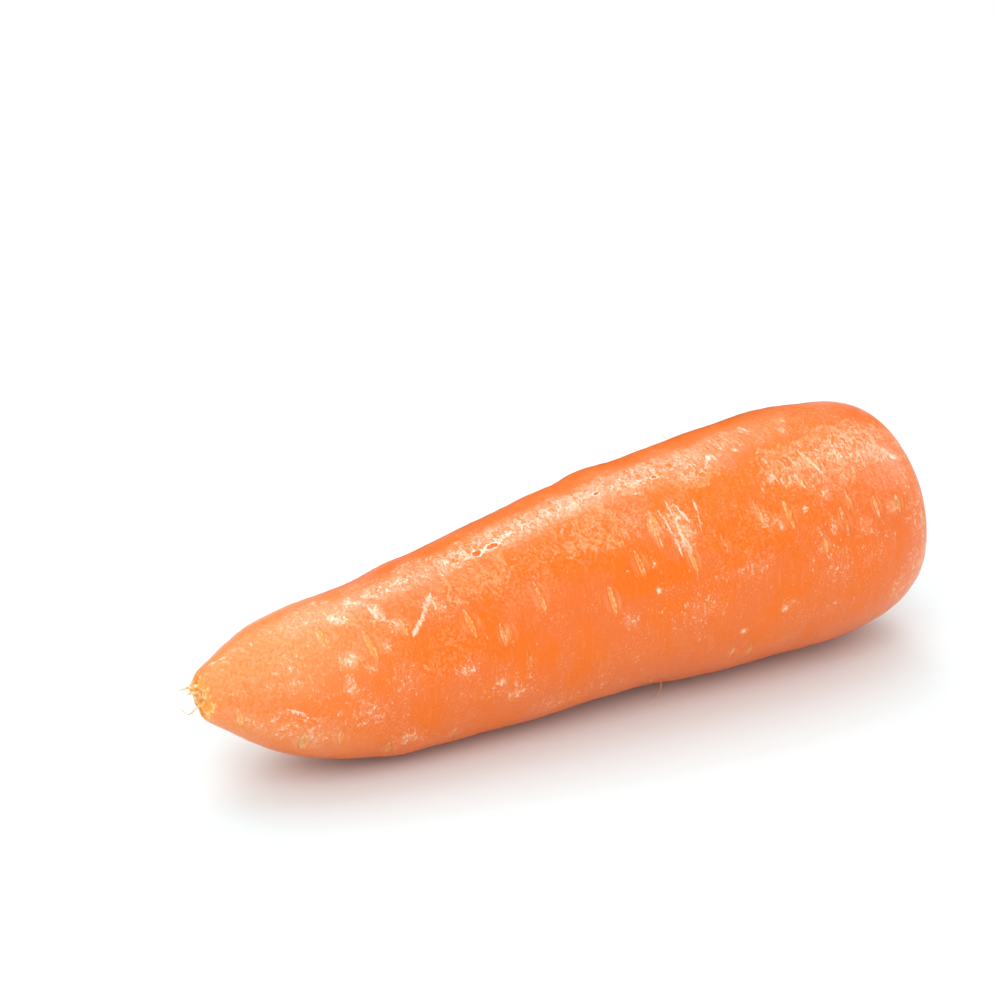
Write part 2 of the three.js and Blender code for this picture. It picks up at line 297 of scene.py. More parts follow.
def outline_at(count):
    """Evenly spaced points of the outline, by a uniform Catmull-Rom spline through its points."""
    knots = np.array(OUTLINE, float)
    last = len(knots) - 1
    at = np.linspace(0, last, 4000)
    k = np.minimum(at.astype(int), last - 1)
    w = (at - k)[:, None]
    before, start = knots[np.maximum(k - 1, 0)], knots[k]
    end, after = knots[k + 1], knots[np.minimum(k + 2, last)]
    lead, trail = (end - before) / 2, (after - start) / 2
    curve = ((2 * start - 2 * end + lead + trail) * w ** 3
             + (3 * end - 3 * start - 2 * lead - trail) * w ** 2 + lead * w + start)
    steps = np.linalg.norm(np.diff(curve, axis=0), axis=1)
    travelled = np.concatenate([[0], np.cumsum(steps)])
    wanted = np.linspace(0, travelled[-1], count)
    along = np.interp(wanted, travelled, curve[:, 0])
    radius = np.interp(wanted, travelled, curve[:, 1])
    return along, np.maximum(radius, 0)


def axis_height(along):
    lift, _, fade = TIP_LIFT
    height = lift * np.exp(-along / fade)
    for bow, middle, reach in BOWS:
        height = height + bow * bell(along - middle, reach)
    return height


def swelling(along, around):
    total = 0
    for middle, angle, height, reach, spread in SWELLINGS:
        total = total + height * bell(along - middle, reach) * bell(turn(around, angle), spread)
    return total


def scar_marks(along, around, radius):
    """How deep in a scar a point lies (1 middle, 0 edge, below 0 outside), its green and its lip."""
    mark = np.full(along.shape, -1.0)
    green = np.zeros(along.shape)
    lip = np.zeros(along.shape)
    for middle, angle, length, half_width, core in SCARS:
        across = np.radians(turn(around, angle)) * radius / (length / 2)
        body = np.clip(1 - across ** 2, 0, 1)
        width = half_width * (0.15 + 0.85 * body ** 1.5)
        beside = np.abs(along - middle - 0.25 * across) / width
        here = np.where(np.abs(across) < 1, 1 - beside, -1)
        here = np.minimum(here, 3 * (1 - np.abs(across)))
        mark = np.maximum(mark, here)
        green = np.maximum(green, core * bell(across, 0.45) * bell(beside, 0.9))
        lip = np.maximum(lip, bell(beside - 1.9, 0.8) * body)
    return mark, green, lip


def spots(along, around, entries):
    """How strongly each point lies in the strongest of some soft-edged spots."""
    total = np.zeros(along.shape)
    for middle, angle, reach, spread, strength in entries:
        distance = ((along - middle) / reach) ** 2 + (turn(around, angle) / spread) ** 2
        total = np.maximum(total, strength * np.exp(-distance ** 1.5))
    return total


def scratch_and_glint_marks(along, around, radius):
    """1 on the middle line of the scratches and the painted glints drawn as strokes, 0.5 at their half width,
    less beyond.
    """
    total = np.zeros(along.shape)
    for along_a, around_a, along_b, around_b, half_width, strength in SCRATCHES_AND_GLINTS:
        here = np.stack([along - along_a, np.radians(turn(around, around_a)) * radius], axis=-1)
        reach = np.stack([np.full(along.shape, along_b - along_a),
                          np.radians(turn(around_b, around_a)) * radius], axis=-1)
        share = np.clip((here * reach).sum(axis=-1) / (reach ** 2).sum(axis=-1).clip(1e-6), 0, 1)
        distance = np.linalg.norm(here - share[..., None] * reach, axis=-1)
        taper = 0.35 + 0.65 * np.sqrt(np.clip(4 * share * (1 - share), 0, 1))
        mark = 1 - 0.5 * distance / (half_width * taper)
        total = np.maximum(total, strength * np.clip(mark, 0, 1))
    return total


def noise_at(points, scale, offset=0.0):
    """Smooth noise between about -1 and 1 at each point; scale is a number or one for each axis."""
    shifted = points * np.asarray(scale, float) + offset
    return np.array([noise.noise(Vector(p)) for p in shifted])


def root_points(along, radius, around, relief):
    """Where points of the plain turned root really lie, in millimetres in the root's own frame."""
    angle = np.radians(around)
    outside = smooth(radius, STUB_RADIUS, 2 * STUB_RADIUS)
    oval = 1 + OVAL * np.cos(2 * angle + OVAL_TURN * np.pi * along / LENGTH)
    ragged = np.cos(TIP_WAVES[0] * angle) + np.sin(TIP_WAVES[1] * angle + 1)
    tear = TIP_RAGGED * ragged * bell(along - TIP, TIP_REACH) * np.minimum(radius / 3, 1)
    on_stub = np.where(along > LENGTH / 2, bell(radius - 0.7 * STUB_RADIUS, 0.25 * STUB_RADIUS), 0)
    stalks = STALK_HEIGHT * on_stub * np.cos(STALKS * angle)
    r = radius * oval + (swelling(along, around) + relief) * outside
    side = r * np.cos(angle)
    up = r * np.sin(angle) + axis_height(along)
    return np.stack([along + stalks - tear, side, up], axis=-1)


def over_skin(places):
    """Frame points for (along, around, height over the skin) places on the long side of the root."""
    along, around, height = np.array(places, float).T
    plain_along, plain_radius = outline_at(OUTLINE_POINTS)
    rim = int(np.argmax(plain_along))
    radius = np.interp(along, plain_along[:rim], plain_radius[:rim])
    return to_frame(lean(root_points(along, radius, around, height)))


def lean(points):
    """Leans the root back on its belly, by a turn about Y."""
    a = math.radians(LEAN)
    x, y, z = points[..., 0], points[..., 1], points[..., 2]
    return np.stack([x * math.cos(a) - z * math.sin(a), y, x * math.sin(a) + z * math.cos(a)], axis=-1)


def to_frame(points):
    """From the leaning root's millimetres to the frame's metres, by the crown, the sides and the belly."""
    plain_along, plain_radius = outline_at(OUTLINE_POINTS)
    around = np.arange(0, 360, 4.0)
    grid = np.meshgrid(plain_along, around, indexing="ij")
    radius = np.repeat(plain_radius[:, None], len(around), axis=1)
    plain = lean(root_points(grid[0], radius, grid[1], 0.0)).reshape(-1, 3)
    low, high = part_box(NODE)
    shift = np.array([
        high.x / MM - plain[:, 0].max(),
        (low.y + high.y) / 2 / MM - (plain[:, 1].min() + plain[:, 1].max()) / 2,
        low.z / MM - plain[:, 2].min() - BELLY_FLAT,
    ])
    return (points + shift) * MM


# ---- Meshes -----------------------------------------------------------------------------------------

def add_mesh(name, points, faces):
    mesh = bpy.data.meshes.new(name)
    mesh.from_pydata([tuple(p) for p in points], [], faces)
    mesh.validate()
    mesh.polygons.foreach_set("use_smooth", [True] * len(mesh.polygons))
    piece = bpy.data.objects.new(name, mesh)
    bpy.context.scene.collection.objects.link(piece)
    return piece


def add_attribute(piece, name, values):
    attribute = piece.data.attributes.new(name, "FLOAT", "POINT")
    attribute.data.foreach_set("value", np.asarray(values, np.float32))


def closed_grid_faces(rings, sectors, first, last):
    """Quads between rings of points, with a fan to one point at each end."""
    faces = []
    for i in range(rings - 1):
        for j in range(sectors):
            k = (j + 1) % sectors
            faces.append((i * sectors + j, (i + 1) * sectors + j, (i + 1) * sectors + k, i * sectors + k))
    top = (rings - 1) * sectors
    for j in range(sectors):
        k = (j + 1) % sectors
        faces.append((first, j, k))
        faces.append((last, top + k, top + j))
    return faces


def build_root_mesh(shape):
    rings, sectors = shape.rings, shape.sectors
    station_along, station_radius = outline_at(rings + 2)
    around_line = np.arange(sectors) * 360.0 / sectors
    along = np.repeat(station_along[1:-1, None], sectors, axis=1).ravel()
    radius = np.repeat(station_radius[1:-1, None], sectors, axis=1).ravel()
    around = np.tile(around_line, rings)
    along = np.concatenate([along, station_along[[0, -1]]])
    radius = np.concatenate([radius, [0.0, 0.0]])
    around = np.concatenate([around, [0.0, 0.0]])

    mark, green, lip = scar_marks(along, around, radius)
    angle = np.radians(around)
    plain = np.stack([along, radius * np.cos(angle), radius * np.sin(angle)], axis=-1)
    broad = noise_at(plain, *BROAD_NOISE)
    middle = noise_at(plain, *MIDDLE_NOISE)
    wrinkle = noise_at(plain, *WRINKLE_NOISE) * (0.5 + noise_at(plain, *WRINKLED_PATCHES))
    crease = np.minimum(np.abs(noise_at(plain, *CREASE_NOISE)) * 6, 1) - 1
    relief = (shape.broad_relief * broad + 0.3 * shape.broad_relief * middle
              + shape.wrinkle_depth * wrinkle + 0.8 * shape.wrinkle_depth * crease)
    damp = spots(along, around, POOLS)
    relief = relief * (1 - 0.5 * damp) / MM
    relief = relief - shape.scar_depth / MM * np.clip(mark * 2, 0, 1) + 0.2 * shape.scar_depth / MM * lip
    points = lean(root_points(along, radius, around, relief))

    faces = closed_grid_faces(rings, sectors, rings * sectors, rings * sectors + 1)
    points = to_frame(points)
    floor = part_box(NODE)[0].z
    points[:, 2] = np.maximum(points[:, 2], floor)
    piece = add_mesh("carrot_skin", points, faces)
    in_crown = np.where(along > LENGTH / 2, 1.0, 0.0)
    patterns = {
        "scar": mark,
        "green": green,
        "lip": lip,
        "torn": bell(along - TIP, TORN_REACH) + 0.3 * bell(along - TIP, 4 * TORN_REACH),
        "damp": damp,
        "worn": spots(along, around, WORN),
        "deep": spots(along, around, DEEP_PATCHES),
        "mottled": spots(along, around, MOTTLED),
        "paled": spots(along, around, TIP_PALLOR_AND_LIGHT),
        "ridged": spots(along, around, RIDGED),
        "scratched": scratch_and_glint_marks(along, around, radius),
        "hollow": in_crown * (1 - smooth(radius, *HOLLOW_FADE)),
        "stub": in_crown * (1 - smooth(radius, *STUB_EDGE)),
        "along": along / LENGTH,
    }
    for name, values in patterns.items():
        add_attribute(piece, name, values)
    return piece


def thread_mesh(name, routes, radii, end_radius, sides, steps):
    """Round tapering threads through points of the frame, closed at both ends, in one mesh."""
    points, faces = [], []
    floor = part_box(NODE)[0].z
    for route, radius in zip(routes, radii):
        knots = np.array(route, float)
        at = np.linspace(0, len(knots) - 1, steps)
        path = np.stack([np.interp(at, np.arange(len(knots)), knots[:, axis]) for axis in range(3)], axis=-1)
        for _ in range(3):
            path[1:-1] = (path[:-2] + 2 * path[1:-1] + path[2:]) / 4
        path[:, 2] = np.maximum(path[:, 2], floor + radius)
        first = len(points)
        for i, centre in enumerate(path):
            ahead = Vector(path[min(i + 1, steps - 1)] - path[max(i - 1, 0)]).normalized()
            out = ahead.orthogonal().normalized()
            over = ahead.cross(out)
            size = radius + (end_radius - radius) * i / (steps - 1)
            for j in range(sides):
                angle = 2 * math.pi * j / sides
                offset = (out * math.cos(angle) + over * math.sin(angle)) * size
                points.append(tuple(Vector(centre) + offset))
        for i in range(steps - 1):
            for j in range(sides):
                k = (j + 1) % sides
                a, b = first + i * sides, first + (i + 1) * sides
                faces.append((a + j, a + k, b + k, b + j))
        faces.append(tuple(first + j for j in reversed(range(sides))))
        faces.append(tuple(first + (steps - 1) * sides + j for j in range(sides)))
    return add_mesh(name, points, faces)


# ---- Shader maths -------------------------------------------------------------------------------------

class Value:
    """A node's output, with the arithmetic that adds Math nodes."""

    def __init__(self, maker, socket):
        self.maker = maker
        self.socket = socket

    def _math(self, operation, *others):
        return self.maker.node("ShaderNodeMath", {"operation": operation}, [self, *others])

    def __add__(self, other):
        return self._math("ADD", other)

    def __sub__(self, other):
        return self._math("SUBTRACT", other)

    def __rsub__(self, other):
        return self.maker.node("ShaderNodeMath", {"operation": "SUBTRACT"}, [other, self])

    def __mul__(self, other):
        return self._math("MULTIPLY", other)

    def __abs__(self):
        return self._math("ABSOLUTE")

    def highest(self, other):
        return self._math("MAXIMUM", other)

    def ramp(self, low, high):
        """0 below low and 1 above high, with a smooth rise between."""
        settings = {"interpolation_type": "SMOOTHSTEP"}
        inputs = {"Value": self, "From Min": low, "From Max": high}
        return self.maker.node("ShaderNodeMapRange", settings, inputs)


class Maker:
    """Adds nodes to one material."""

    def __init__(self, material):
        material.use_nodes = True
        self.tree = material.node_tree
        self.tree.nodes.clear()

    def node(self, kind, settings=None, inputs=None, output=0):
        """A node with its settings set first, then its sockets set or linked, by place or by name."""
        made = self.tree.nodes.new(kind)
        for name, value in (settings or {}).items():
            setattr(made, name, value)
        pairs = inputs.items() if isinstance(inputs, dict) else enumerate(inputs or [])
        for key, value in pairs:
            if isinstance(value, Value):
                self.tree.links.new(value.socket, made.inputs[key])
            else:
                made.inputs[key].default_value = value
        return Value(self, made.outputs[output]) if len(made.outputs) else made

    def attribute(self, name):
        return self.node("ShaderNodeAttribute", {"attribute_name": name}, output="Fac")

    def position(self):
        return self.node("ShaderNodeTexCoord", output="Object")

    def scaled(self, vector, scale):
        """The vector times a scale for each axis, in turns per millimetre of the object."""
        factor = tuple(s / MM for s in scale)
        return self.node("ShaderNodeVectorMath", {"operation": "MULTIPLY"}, [vector, factor])

    def noise(self, vector, scale, detail=2.0, roughness=0.5, distortion=0.0):
        inputs = {"Vector": self.scaled(vector, scale), "Scale": 1.0, "Detail": detail,
                  "Roughness": roughness, "Distortion": distortion}
        return self.node("ShaderNodeTexNoise", {}, inputs)

    def cells(self, vector, scale):
        """Distance to the middle of the nearest cell, and that cell's own colour."""
        distance = self.node("ShaderNodeTexVoronoi", {}, {"Vector": self.scaled(vector, scale), "Scale": 1.0})
        return distance, Value(self, distance.socket.node.outputs["Color"])

    def mix(self, amount, low, high):
        """A colour between low and high."""
        made = self.tree.nodes.new("ShaderNodeMix")
        made.data_type = "RGBA"
        for index, value in ((0, amount), (6, low), (7, high)):
            if isinstance(value, Value):
                self.tree.links.new(value.socket, made.inputs[index])
            else:
                made.inputs[index].default_value = value if index == 0 else (*value[:3], 1)
        return Value(self, made.outputs[2])


# ---- Materials ------------------------------------------------------------------------------------------

def make_skin(colours, finish):
    material = bpy.data.materials.new("carrot skin")
    m = Maker(material)
    place = m.position()
    scar, green, lip = m.attribute("scar"), m.attribute("green"), m.attribute("lip")
    torn, hollow, stub = m.attribute("torn"), m.attribute("hollow"), m.attribute("stub")
    along, damp, deep = m.attribute("along"), m.attribute("damp"), m.attribute("deep")
    worn, scratched = m.attribute("worn"), m.attribute("scratched")
    mottled, ridged, paled = m.attribute("mottled"), m.attribute("ridged"), m.attribute("paled")
    bare = 1 - stub.highest(hollow)

    # Shared patterns.
    zone = m.noise(place, (0.05, 0.06, 0.06), 1)
    cluster = m.noise(place, (0.14, 0.1, 0.1), 3, 0.65)
    curl = m.noise(place, (0.55, 0.36, 0.36), 3, 0.55, 1.4)
    fleck = m.noise(place, (0.95, 0.7, 0.7), 3, 0.6, 0.4)
    pores = m.noise(place, (1.6, 1.25, 1.25), 2, 0.6)
    grain = m.noise(place, (2.6, 2.0, 2.0), 3, 0.75)
    streak = m.noise(place, (1.6, 0.2, 0.2), 3, 0.65, 0.6)
    wave = m.noise(place, (0.33, 0.2, 0.2), 1, 0.5, 0.8)
    ridge = m.noise(place, (0.85, 0.22, 0.22), 2, 0.5, 0.4)
    ripple = curl * 0.45 + fleck * 0.4 + pores * 0.15
    mottled = (mottled * 0.85 + 0.15) * (cluster.ramp(0.36, 0.6) * 0.7 + 0.3)

    # Wet film with curling edges, widest along the top where it shines, with small drops and pits in it.
    wetness = curl * 0.75 + grain * 0.25 + damp * 0.3
    film = wetness.ramp(0.6, 0.64) * damp.ramp(0.05, 0.2) * bare
    film_edge = (1 - abs(wetness - 0.62) * 40).highest(0) * damp.ramp(0.1, 0.4) * bare
    ring, inside, dent = 0, 0, 0
    for middle, size in zip(over_skin([(*entry[:2], 0) for entry in RINGS]), RINGS):
        apart = m.node("ShaderNodeVectorMath", {"operation": "SUBTRACT"}, [place, tuple(middle)])
        apart = m.scaled(apart, (1 / size[2], 1 / size[3], 1 / size[3]))
        away = m.node("ShaderNodeVectorMath", {"operation": "LENGTH"}, [apart], "Value") + (curl - 0.5) * 1.2
        ring = (1 - abs(away - 1.35) * 2.0).highest(ring)
        inside = (1 - away.ramp(0.7, 1.0)).highest(inside)
        dent = (1.1 - away).highest(dent)
    film = film * (1 - inside)
    to_middle, chosen = m.cells(place, (0.4, 0.36, 0.36))
    drop = (0.34 - to_middle).ramp(0.0, 0.3) * chosen.ramp(0.62, 0.66) * film
    hole = (0.2 - to_middle).ramp(0.0, 0.05) * (1 - chosen.ramp(0.3, 0.33)) * film

    # Flesh that shows through the skin, paler at the tip, with a painted sheen where the film lies.
    strong = ((zone + cluster) * 0.5 - deep * 0.25).ramp(0.42, 0.56)
    flesh = m.mix(strong, colours.deep, colours.flesh)
    # Paler tip: partly the flesh's own colour, partly painted light on its upper side.
    flesh = m.mix(paled * 0.85, flesh, colours.peach)
    flesh = m.mix(along.ramp(0.75, 1.0) * 0.4, flesh, colours.salmon)
    flesh = m.mix((1 - pores.ramp(0.36, 0.5)) * mottled * 0.45, flesh, colours.deep)
    # Painted sheen: pale pink dots of the broken wet film over the mottle.
    flesh = m.mix(pores.ramp(0.43, 0.66) * mottled * 0.42, flesh, colours.pale_skin_and_sheen)
    flesh = m.mix(streak.ramp(0.54, 0.72) * 0.25, flesh, colours.peach)
    # Painted sheen: the film's pale pink reflection is painted into the colour where the film lies and along
    # its edges; worn spots add their own pale halo.
    sheen_and_worn_halo = (film * (0.7 - damp * 0.35)).highest(worn.ramp(0.2, 1.2) * 0.5)
    sheen_and_worn_halo = sheen_and_worn_halo * (pores.ramp(0.38, 0.6) * 0.7 + 0.4)
    flesh = m.mix(sheen_and_worn_halo + film_edge * 0.35, flesh, colours.pale_skin_and_sheen)
    flesh = m.mix(inside * 0.8, flesh, colours.deep)
    # Painted shade: thin deep orange curls where the film's sheen breaks.
    painted_sheen_gap = (1 - abs(ripple - 0.47) * 30).highest(0) * film * damp.ramp(0.2, 0.8)
    # Painted highlight: thin white glints in the wettest film.
    painted_glint = (1 - abs(ripple - 0.54) * 30).highest(0) * film * damp.ramp(0.5, 1.0)
    # Painted highlight: white lines along the wet cross ridges.
    painted_ridge_highlight = (ridge * 0.75 + pores * 0.25).ramp(0.53, 0.62) * ridged.ramp(0.2, 0.8) * film
    flesh = m.mix(painted_sheen_gap * 0.75, flesh, colours.deep)

    # Pale marks: flecks, worn spots, scratches and painted glints drawn as strokes, most white in the middle.
    flecks = fleck * 0.55 + grain * 0.45 + worn * 0.16 + (cluster - 0.5) * 0.12
    specks = (grain + worn * 0.08 + (cluster - 0.5) * 0.3).ramp(0.6, 0.7)
    torn_skin = (streak - 0.5) * 1.4 + (grain - 0.5) * 1.1
    scratch_and_glint = (scratched + torn_skin).ramp(0.5, 0.8)
    pale = flecks.ramp(0.595, 0.68).highest(specks * 0.6).highest(scratch_and_glint) * bare * finish.scuffs
    skin = m.mix(pale * 0.8, flesh, colours.scuff)
    # Painted highlight: a broken white line round the edge of each water ring.
    painted_ring_highlight = (ring + (grain - 0.5) * 2 + (fleck - 0.5) * 3.5).ramp(0.2, 1.0) * ring.ramp(0.0, 0.5)
    # Most white: worn-through specks and scratches, and the film's painted white highlights.
    white_wear_and_glints = flecks.ramp(0.67, 0.76).highest(scratch_and_glint * 0.55).highest(painted_ring_highlight).highest(painted_glint * 0.7)
    white_wear_and_glints = white_wear_and_glints.highest(painted_ridge_highlight * 0.5)
    skin = m.mix(white_wear_and_glints * bare * 0.85, skin, colours.white)

    # Cross scars.
    ragged_edge = (grain - 0.5) * 1.3 + (streak - 0.5) * 1.2
    in_scar = (scar + ragged_edge).ramp(0.05, 0.75) * (streak + grain * 0.5).ramp(0.5, 0.85)
    rim = (1 - abs(scar - 0.35) * 2.5 + (pores - 0.5) * 4).ramp(0.2, 0.9)
    skin = m.mix((lip + (streak - 0.5) * 1.5).ramp(0.2, 1.3) * 0.35, skin, colours.pale_skin_and_sheen)
    skin = m.mix(in_scar * 0.9, skin, m.mix(rim, colours.scar_core, colours.scar))
    skin = m.mix((green + ragged_edge * 0.4).ramp(0.3, 0.9) * 0.7, skin, colours.green)

    # The torn tip, orange with pale yellow fibres and orange-brown pits.
    at_tip = (torn + (fleck - 0.5) * 1.8).ramp(0.3, 0.9)
    skin = m.mix(at_tip * 0.75, skin, m.mix(fleck.ramp(0.49, 0.6), colours.torn, colours.fibre))
    pit = (0.5 - curl * 0.5 - pores * 0.5).ramp(0.03, 0.07) * at_tip
    skin = m.mix(pit * 0.7, skin, colours.pit)

    # The crown: a dull green-brown hollow and the dried cut stub of the leaf stalks.
    dusty = m.noise(place, (0.5, 0.35, 0.35), 3, 0.7)
    skin = m.mix((hollow + (dusty - 0.5) * 0.6).ramp(0.35, 0.95) * 0.85, skin, colours.crown)
    cut = m.mix(dusty.ramp(0.4, 0.62), colours.stub, colours.stub_edge)
    skin = m.mix(stub.ramp(0.4, 0.9), skin, cut)

    roughness = finish.dry_roughness - film * (finish.dry_roughness - finish.wet_roughness)
    roughness = roughness + (pale + in_scar) * (1 - film) * 0.12

    # Relief too fine for the mesh, in millimetres.
    rough_skin = ((pores - 0.5) * 0.12 + (grain - 0.5) * 0.04 + (streak - 0.5) * 0.06) * (1 - film * 0.8)
    wet_skin = ((wave - 0.5) * 0.3 + (curl - 0.5) * 0.12 + (ridge - 0.5) * ridged * 0.5) * film
    wet_skin = wet_skin + ((fleck - 0.5) * 0.14 + (pores - 0.5) * 0.05) * film
    wet_skin = wet_skin + (film_edge * 0.02 + drop * 0.2 - hole * 0.1) * damp - dent * 0.35
    height = (rough_skin + wet_skin - in_scar * 0.08 + (fleck - 0.5) * at_tip * 0.2
              + dusty * hollow * 0.5 - pit * 0.1)
    bump = m.node("ShaderNodeBump", {}, {"Strength": finish.bump, "Distance": MM, "Height": height})

    shader = m.node("ShaderNodeBsdfPrincipled", {}, {
        "Base Color": skin, "Roughness": roughness, "Normal": bump, "IOR": 1.36, "Specular IOR Level": 0.42,
        "Subsurface Weight": finish.translucency, "Subsurface Radius": (1.0, 0.35, 0.12),
        "Subsurface Scale": 2.0 * MM,
    })
    m.node("ShaderNodeOutputMaterial", {}, {"Surface": shader})
    return material


def make_thread(colours):
    material = bpy.data.materials.new("thread root")
    m = Maker(material)
    dry = m.noise(m.position(), (1.2, 1.2, 1.2), 3, 0.6)
    colour = m.mix(dry.ramp(0.35, 0.65), colours.thread, colours.torn)
    shader = m.node("ShaderNodeBsdfPrincipled", {}, {
        "Base Color": colour, "Roughness": 0.55, "Subsurface Weight": 0.3,
        "Subsurface Radius": (1.0, 0.6, 0.3), "Subsurface Scale": 0.6 * MM,
    })
    m.node("ShaderNodeOutputMaterial", {}, {"Surface": shader})
    return material


def make_floor(colour):
    material = bpy.data.materials.new("white surface")
    m = Maker(material)
    shader = m.node("ShaderNodeBsdfPrincipled", {}, {"Base Color": (*colour, 1), "Roughness": 0.6})
    m.node("ShaderNodeOutputMaterial", {}, {"Surface": shader})
    return material


# ---- What a user may change -----------------------------------------------------------------------------

def length_prop(name, description, millimetres):
    return FloatProperty(name=name, description=description, default=millimetres * MM, unit="LENGTH",
                         precision=5)


def colour_prop(name, description, value):
    return FloatVectorProperty(name=name, description=description, default=value, size=3,
                               subtype="COLOR", min=0, max=1)


def power_prop(name, description, watts):
    return FloatProperty(name=name, description=description, default=watts, min=0, unit="POWER")


class CarrotShape(bpy.types.PropertyGroup):
    rings: IntProperty(name="Rings", description="Rings of points along the root", default=410)
    sectors: IntProperty(name="Sectors", description="Points in each ring", default=240)
    scar_depth: length_prop("Scar depth", "How deep the cross scars are", 0.3)
    broad_relief: length_prop("Unevenness", "Height of the broad unevenness of the skin", 0.22)
    wrinkle_depth: length_prop("Wrinkles", "Depth of the fine cross wrinkles", 0.05)


class CarrotColours(bpy.types.PropertyGroup):
    flesh: colour_prop("Flesh", "Most of the root", (0.85, 0.167, 0.027))
    deep: colour_prop("Deep flesh", "The strongest orange patches", (0.88, 0.160, 0.006))
    salmon: colour_prop("Salmon", "Duller flesh near the crown", (0.82, 0.168, 0.045))
    peach: colour_prop("Peach", "Pale flesh near the tip and beside scars", (0.92, 0.325, 0.108))
    # Pale pink: mostly a painted sheen of the wet film, and also the real pale halo beside the scars.
    pale_skin_and_sheen: colour_prop("Film", "Skin veiled by the wet film", (0.95, 0.41, 0.20))
    scuff: colour_prop("Scuffs", "Pale worn specks of skin", (0.93, 0.52, 0.30))
    # Worn-through white, which also paints the glints and highlights of the wet film.
    white: colour_prop("Worn through", "The whitest worn specks", (0.96, 0.80, 0.64))
    scar: colour_prop("Scars", "Corky cross scars", (0.97, 0.64, 0.34))
    scar_core: colour_prop("Scar cores", "Duller middle of the scars", (0.93, 0.38, 0.08))
    green: colour_prop("Green cores", "Middle of some scars", (0.46, 0.30, 0.05))
    torn: colour_prop("Torn tip", "Torn flesh of the tip", (0.97, 0.37, 0.045))
    fibre: colour_prop("Fibres", "Pale yellow fibres of the tip", (0.98, 0.68, 0.28))
    pit: colour_prop("Pits", "Orange-brown pits in the tip", (0.84, 0.19, 0.008))
    crown: colour_prop("Crown hollow", "Green-brown hollow", (0.34, 0.22, 0.05))
    stub: colour_prop("Stub", "Cut leaf stalks", (0.45, 0.42, 0.14))
    stub_edge: colour_prop("Dried stub", "Dried edges of the cut stalks", (0.20, 0.12, 0.04))
    thread: colour_prop("Thread roots", "Fine torn roots", (0.95, 0.72, 0.40))


class CarrotFinish(bpy.types.PropertyGroup):
    wet_roughness: FloatProperty(name="Wet roughness", description="Where water stands", default=0.05)
    dry_roughness: FloatProperty(name="Dry roughness", description="Where the skin is drier", default=0.3)
    bump: FloatProperty(name="Bump", description="Strength of the finest relief", default=1.0)
    scuffs: FloatProperty(name="Scuffs", description="How strong the pale scuffs are", default=0.85)
    translucency: FloatProperty(name="Translucency", description="Light that passes through the flesh",
                                default=0.2)


class CarrotStage(bpy.types.PropertyGroup):
    lens: FloatProperty(name="Lens", description="Focal length in millimetres", default=143.9)
    distance: FloatProperty(name="Distance", description="Camera to the aim point", default=0.85,
                            unit="LENGTH")
    elevation: FloatProperty(name="Elevation", description="How far the camera looks down",
                             default=math.radians(25.4), subtype="ANGLE")
    azimuth: FloatProperty(name="Azimuth", description="How far the view turns from +Y towards +X",
                           default=math.radians(30), subtype="ANGLE")
    aim: FloatVectorProperty(name="Aim", description="Point in the middle of the view",
                             default=(-0.00396, 0.0143, 0.0418), subtype="XYZ", unit="LENGTH", size=3)
    key: power_prop("Key light", "Power of the softbox the wet skin mirrors", 3.0)
    strip: power_prop("Strip light", "Power of the bright strip in the softbox", 1.4)
    side: power_prop("Side light", "Power of the panel the crown side mirrors", 4.2)
    soft: power_prop("Soft light", "Power of the large panel behind and above", 4.2)
    front: power_prop("Front light", "Power of the panel in front", 4.8)
    fill: FloatProperty(name="Fill", description="Strength of the white surroundings", default=1.1)
    sky: colour_prop("Surroundings", "Colour of the white surroundings", (0.93, 0.98, 1.0))
    floor: colour_prop("Surface", "Colour of the surface", (0.785, 0.855, 0.86))


# ---- Operators ------------------------------------------------------------------------------------------

class CARROT_OT_root(bpy.types.Operator):
    """Builds the root with its skin in place of the plain solid"""

    bl_idname = "carrot.root"
    bl_label = "Root"

    def execute(self, context):
        scene = context.scene
        skin = build_root_mesh(scene.carrot_shape)
        skin.data.materials.append(make_skin(scene.carrot_colours, scene.carrot_finish))
        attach(skin, BODY)
        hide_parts(NODE)
        return {"FINISHED"}


class CARROT_OT_threads(bpy.types.Operator):
    """Builds the torn thread roots at the tip and the few fine root hairs"""

    bl_idname = "carrot.threads"
    bl_label = "Thread roots"

    def execute(self, context):
        routes = [to_frame(lean(np.array(route, float))) for _, route in THREADS]
        radii = [radius * MM for radius, _ in THREADS]
        threads = thread_mesh("tip_threads", routes, radii, THREAD_END * MM, THREAD_SIDES, THREAD_STEPS)
        routes = [over_skin(route) for route in HAIRS]
        radii = [HAIR_RADIUS * MM] * len(HAIRS)
        hairs = thread_mesh("root_hairs", routes, radii, HAIR_END * MM, HAIR_SIDES, HAIR_STEPS)
        material = make_thread(context.scene.carrot_colours)
        for piece in (threads, hairs):
            piece.data.materials.append(material)
            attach(piece, BODY)
        return {"FINISHED"}


